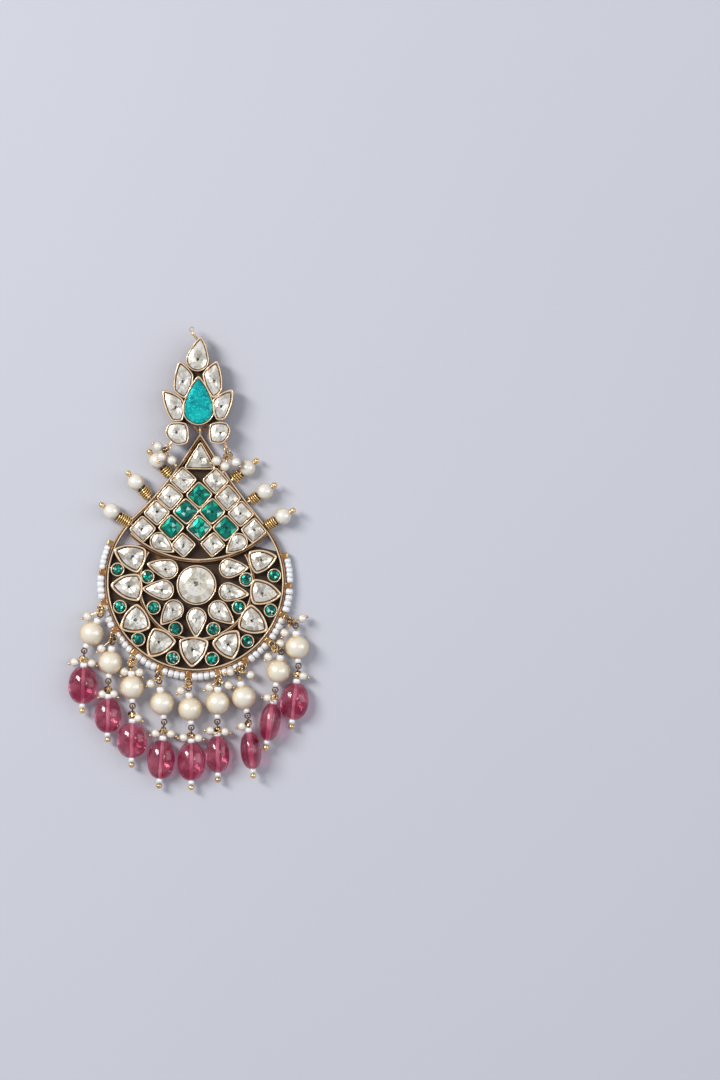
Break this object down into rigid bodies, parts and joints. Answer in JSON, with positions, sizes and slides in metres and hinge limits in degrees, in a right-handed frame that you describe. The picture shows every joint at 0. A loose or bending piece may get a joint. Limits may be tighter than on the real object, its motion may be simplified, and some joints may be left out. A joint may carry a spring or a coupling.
{
  "type": "kundan drop earring",
  "caption": "Long drop earring: a petalled stone-set stud, a round drop with a pointed top, a seed bead border, side pearls and a fringe of pearls and oval beads.",
  "frame": {"origin": "centre of the big round stone, on the flat back of its setting, which rests on the table", "axes": "+Y from the round drop towards the stud's tip, +Z out of the stones' faces, +X to the right when the stones face the viewer"},
  "size_m": [0.0604, 0.1157, 0.0072],
  "materials": {
    "antique_gold": "antique gold plate, pale worn rims and dark oxidised recesses",
    "clear_stone": "clear glass over silver foil, cut facets",
    "green_stone": "emerald green glass over foil, cut facets",
    "teal_stone": "mottled turquoise glass over foil",
    "ivory_pearl": "ivory pearl lustre",
    "white_pearl": "white pearl lustre",
    "pink_bead": "translucent raspberry pink stone, polished",
    "seed_bead": "opaque white glazed seed beads"
  },
  "bodies": {
    "root": {"stud_frame": "antique_gold", "body_frame": "antique_gold", "ear_clip": "antique_gold", "link_ring": "antique_gold", "teal_stone": "teal_stone", "top_stone": "clear_stone", "upper_left_stone": "clear_stone", "upper_right_stone": "clear_stone", "middle_left_stone": "clear_stone", "middle_right_stone": "clear_stone", "lower_left_stone": "clear_stone", "lower_right_stone": "clear_stone", "triangle_stone": "clear_stone", "centre_stone": "clear_stone", "fan_stone_1": "clear_stone", "fan_stone_2": "clear_stone", "fan_stone_3": "clear_stone", "fan_stone_4": "clear_stone", "fan_stone_5": "clear_stone", "fan_stone_6": "clear_stone", "fan_stone_7": "clear_stone", "fan_stone_8": "clear_stone", "fan_stone_9": "clear_stone", "clear_squares": "clear_stone", "green_squares": "green_stone", "corner_pears": "clear_stone", "inner_pears": "clear_stone", "outer_rounds": "green_stone", "inner_rounds": "green_stone", "pearl_1": "ivory_pearl", "pearl_2": "ivory_pearl", "pearl_3": "ivory_pearl", "pearl_4": "ivory_pearl", "pearl_5": "ivory_pearl", "pearl_6": "ivory_pearl", "pearl_7": "ivory_pearl", "pearl_8": "ivory_pearl", "pearl_9": "ivory_pearl", "oval_bead_1": "pink_bead", "oval_bead_2": "pink_bead", "oval_bead_3": "pink_bead", "oval_bead_4": "pink_bead", "oval_bead_5": "pink_bead", "oval_bead_6": "pink_bead", "oval_bead_7": "pink_bead", "oval_bead_8": "pink_bead", "oval_bead_9": "pink_bead", "upper_pins": "antique_gold", "drop_links": "antique_gold", "lower_pins": "antique_gold", "cluster_pearls": "white_pearl", "side_pearls": "white_pearl", "side_coils": "antique_gold", "stud_links": "antique_gold"}
  },
  "joints": []
}
